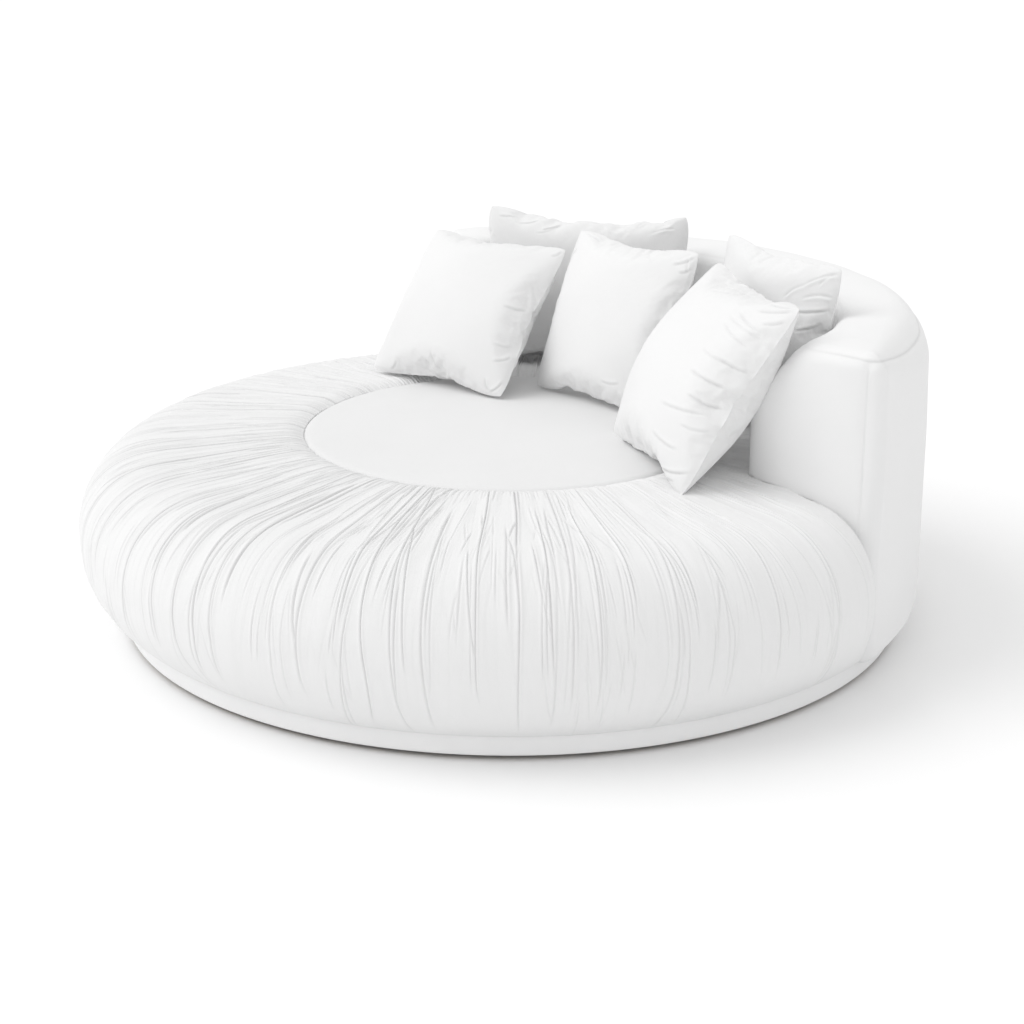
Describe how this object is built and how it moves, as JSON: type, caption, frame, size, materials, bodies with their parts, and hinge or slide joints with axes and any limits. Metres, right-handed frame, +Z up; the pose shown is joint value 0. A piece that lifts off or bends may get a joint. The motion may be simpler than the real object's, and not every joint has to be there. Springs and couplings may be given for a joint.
{
  "type": "round daybed",
  "caption": "Round upholstered daybed: bulging seat with a gathered ring cover and smooth centre panel on a low plinth, arc backrest, and loose scatter pillows that lift off.",
  "frame": {"origin": "on the floor, under the middle of the round plinth", "axes": "+Z up, +Y towards the middle of the arc backrest, -Y the open front"},
  "size_m": [2.198, 2.1448, 0.9338],
  "materials": {
    "gathered_fabric": "matte white upholstery cloth, gathered",
    "centre_fabric": "flat white upholstery cloth, a little greyer, fine brushed weave",
    "backrest_fabric": "smooth matte white upholstery cloth",
    "band_fabric": "matte white upholstery cloth stretched round the plinth",
    "pillow_fabric": "soft white cotton-like cloth with a slight sheen",
    "pillow_fill": "loose fibre filling in a plain inner bag",
    "foam": "upholstery foam",
    "plywood": "birch plywood",
    "timber": "planed softwood",
    "dust_cloth": "black spun-bonded dust cloth",
    "glide_plastic": "black plastic",
    "zinc_steel": "zinc-plated steel"
  },
  "bodies": {
    "bed": {"backrest_bolts": "zinc_steel", "backrest_bottom_plate": "plywood", "backrest_end_boards": "plywood", "backrest_end_foams": "foam", "backrest_inner_cover": "backrest_fabric", "backrest_inner_foam": "foam", "backrest_inner_skin": "plywood", "backrest_left_end_cover": "backrest_fabric", "backrest_outer_cover": "backrest_fabric", "backrest_outer_foam": "foam", "backrest_outer_skin": "plywood", "backrest_right_end_cover": "backrest_fabric", "backrest_t_nuts": "zinc_steel", "backrest_top_cover": "backrest_fabric", "backrest_top_foam": "foam", "backrest_top_plate": "plywood", "backrest_uprights": "timber", "backrest_washers": "zinc_steel", "bearer_across": "timber", "bearer_along": "timber", "centre_glide": "glide_plastic", "deck_screws": "zinc_steel", "dust_cover": "dust_cloth", "floor_glides": "glide_plastic", "glide_screws": "zinc_steel", "plinth_base_ring": "plywood", "plinth_blocks": "timber", "plinth_centre_block": "plywood", "plinth_cover": "band_fabric", "plinth_padding": "foam", "plinth_skin": "plywood", "seat_bolster_foam": "foam", "seat_centre_panel": "centre_fabric", "seat_comfort_layer": "foam", "seat_core_foam": "foam", "seat_deck": "plywood", "seat_gathered_ring": "gathered_fabric"},
    "pillow_left": {"pillow_left_cover": "pillow_fabric", "pillow_left_insert": "pillow_fill"},
    "pillow_back_left": {"pillow_back_left_cover": "pillow_fabric", "pillow_back_left_insert": "pillow_fill"},
    "pillow_middle": {"pillow_middle_cover": "pillow_fabric", "pillow_middle_insert": "pillow_fill"},
    "pillow_right": {"pillow_right_cover": "pillow_fabric", "pillow_right_insert": "pillow_fill"},
    "pillow_back_right": {"pillow_back_right_cover": "pillow_fabric", "pillow_back_right_insert": "pillow_fill"}
  },
  "joints": [
    {"name": "pillow_left_lift", "type": "slide", "parent": "bed", "child": "pillow_left", "axis": [0, 0, 1], "range_m": [0, 0.45]},
    {"name": "pillow_back_left_lift", "type": "slide", "parent": "bed", "child": "pillow_back_left", "axis": [0, 0, 1], "range_m": [0, 0.45]},
    {"name": "pillow_middle_lift", "type": "slide", "parent": "bed", "child": "pillow_middle", "axis": [0, 0, 1], "range_m": [0, 0.45]},
    {"name": "pillow_right_lift", "type": "slide", "parent": "bed", "child": "pillow_right", "axis": [0, 0, 1], "range_m": [0, 0.45]},
    {"name": "pillow_back_right_lift", "type": "slide", "parent": "bed", "child": "pillow_back_right", "axis": [0, 0, 1], "range_m": [0, 0.45]}
  ]
}
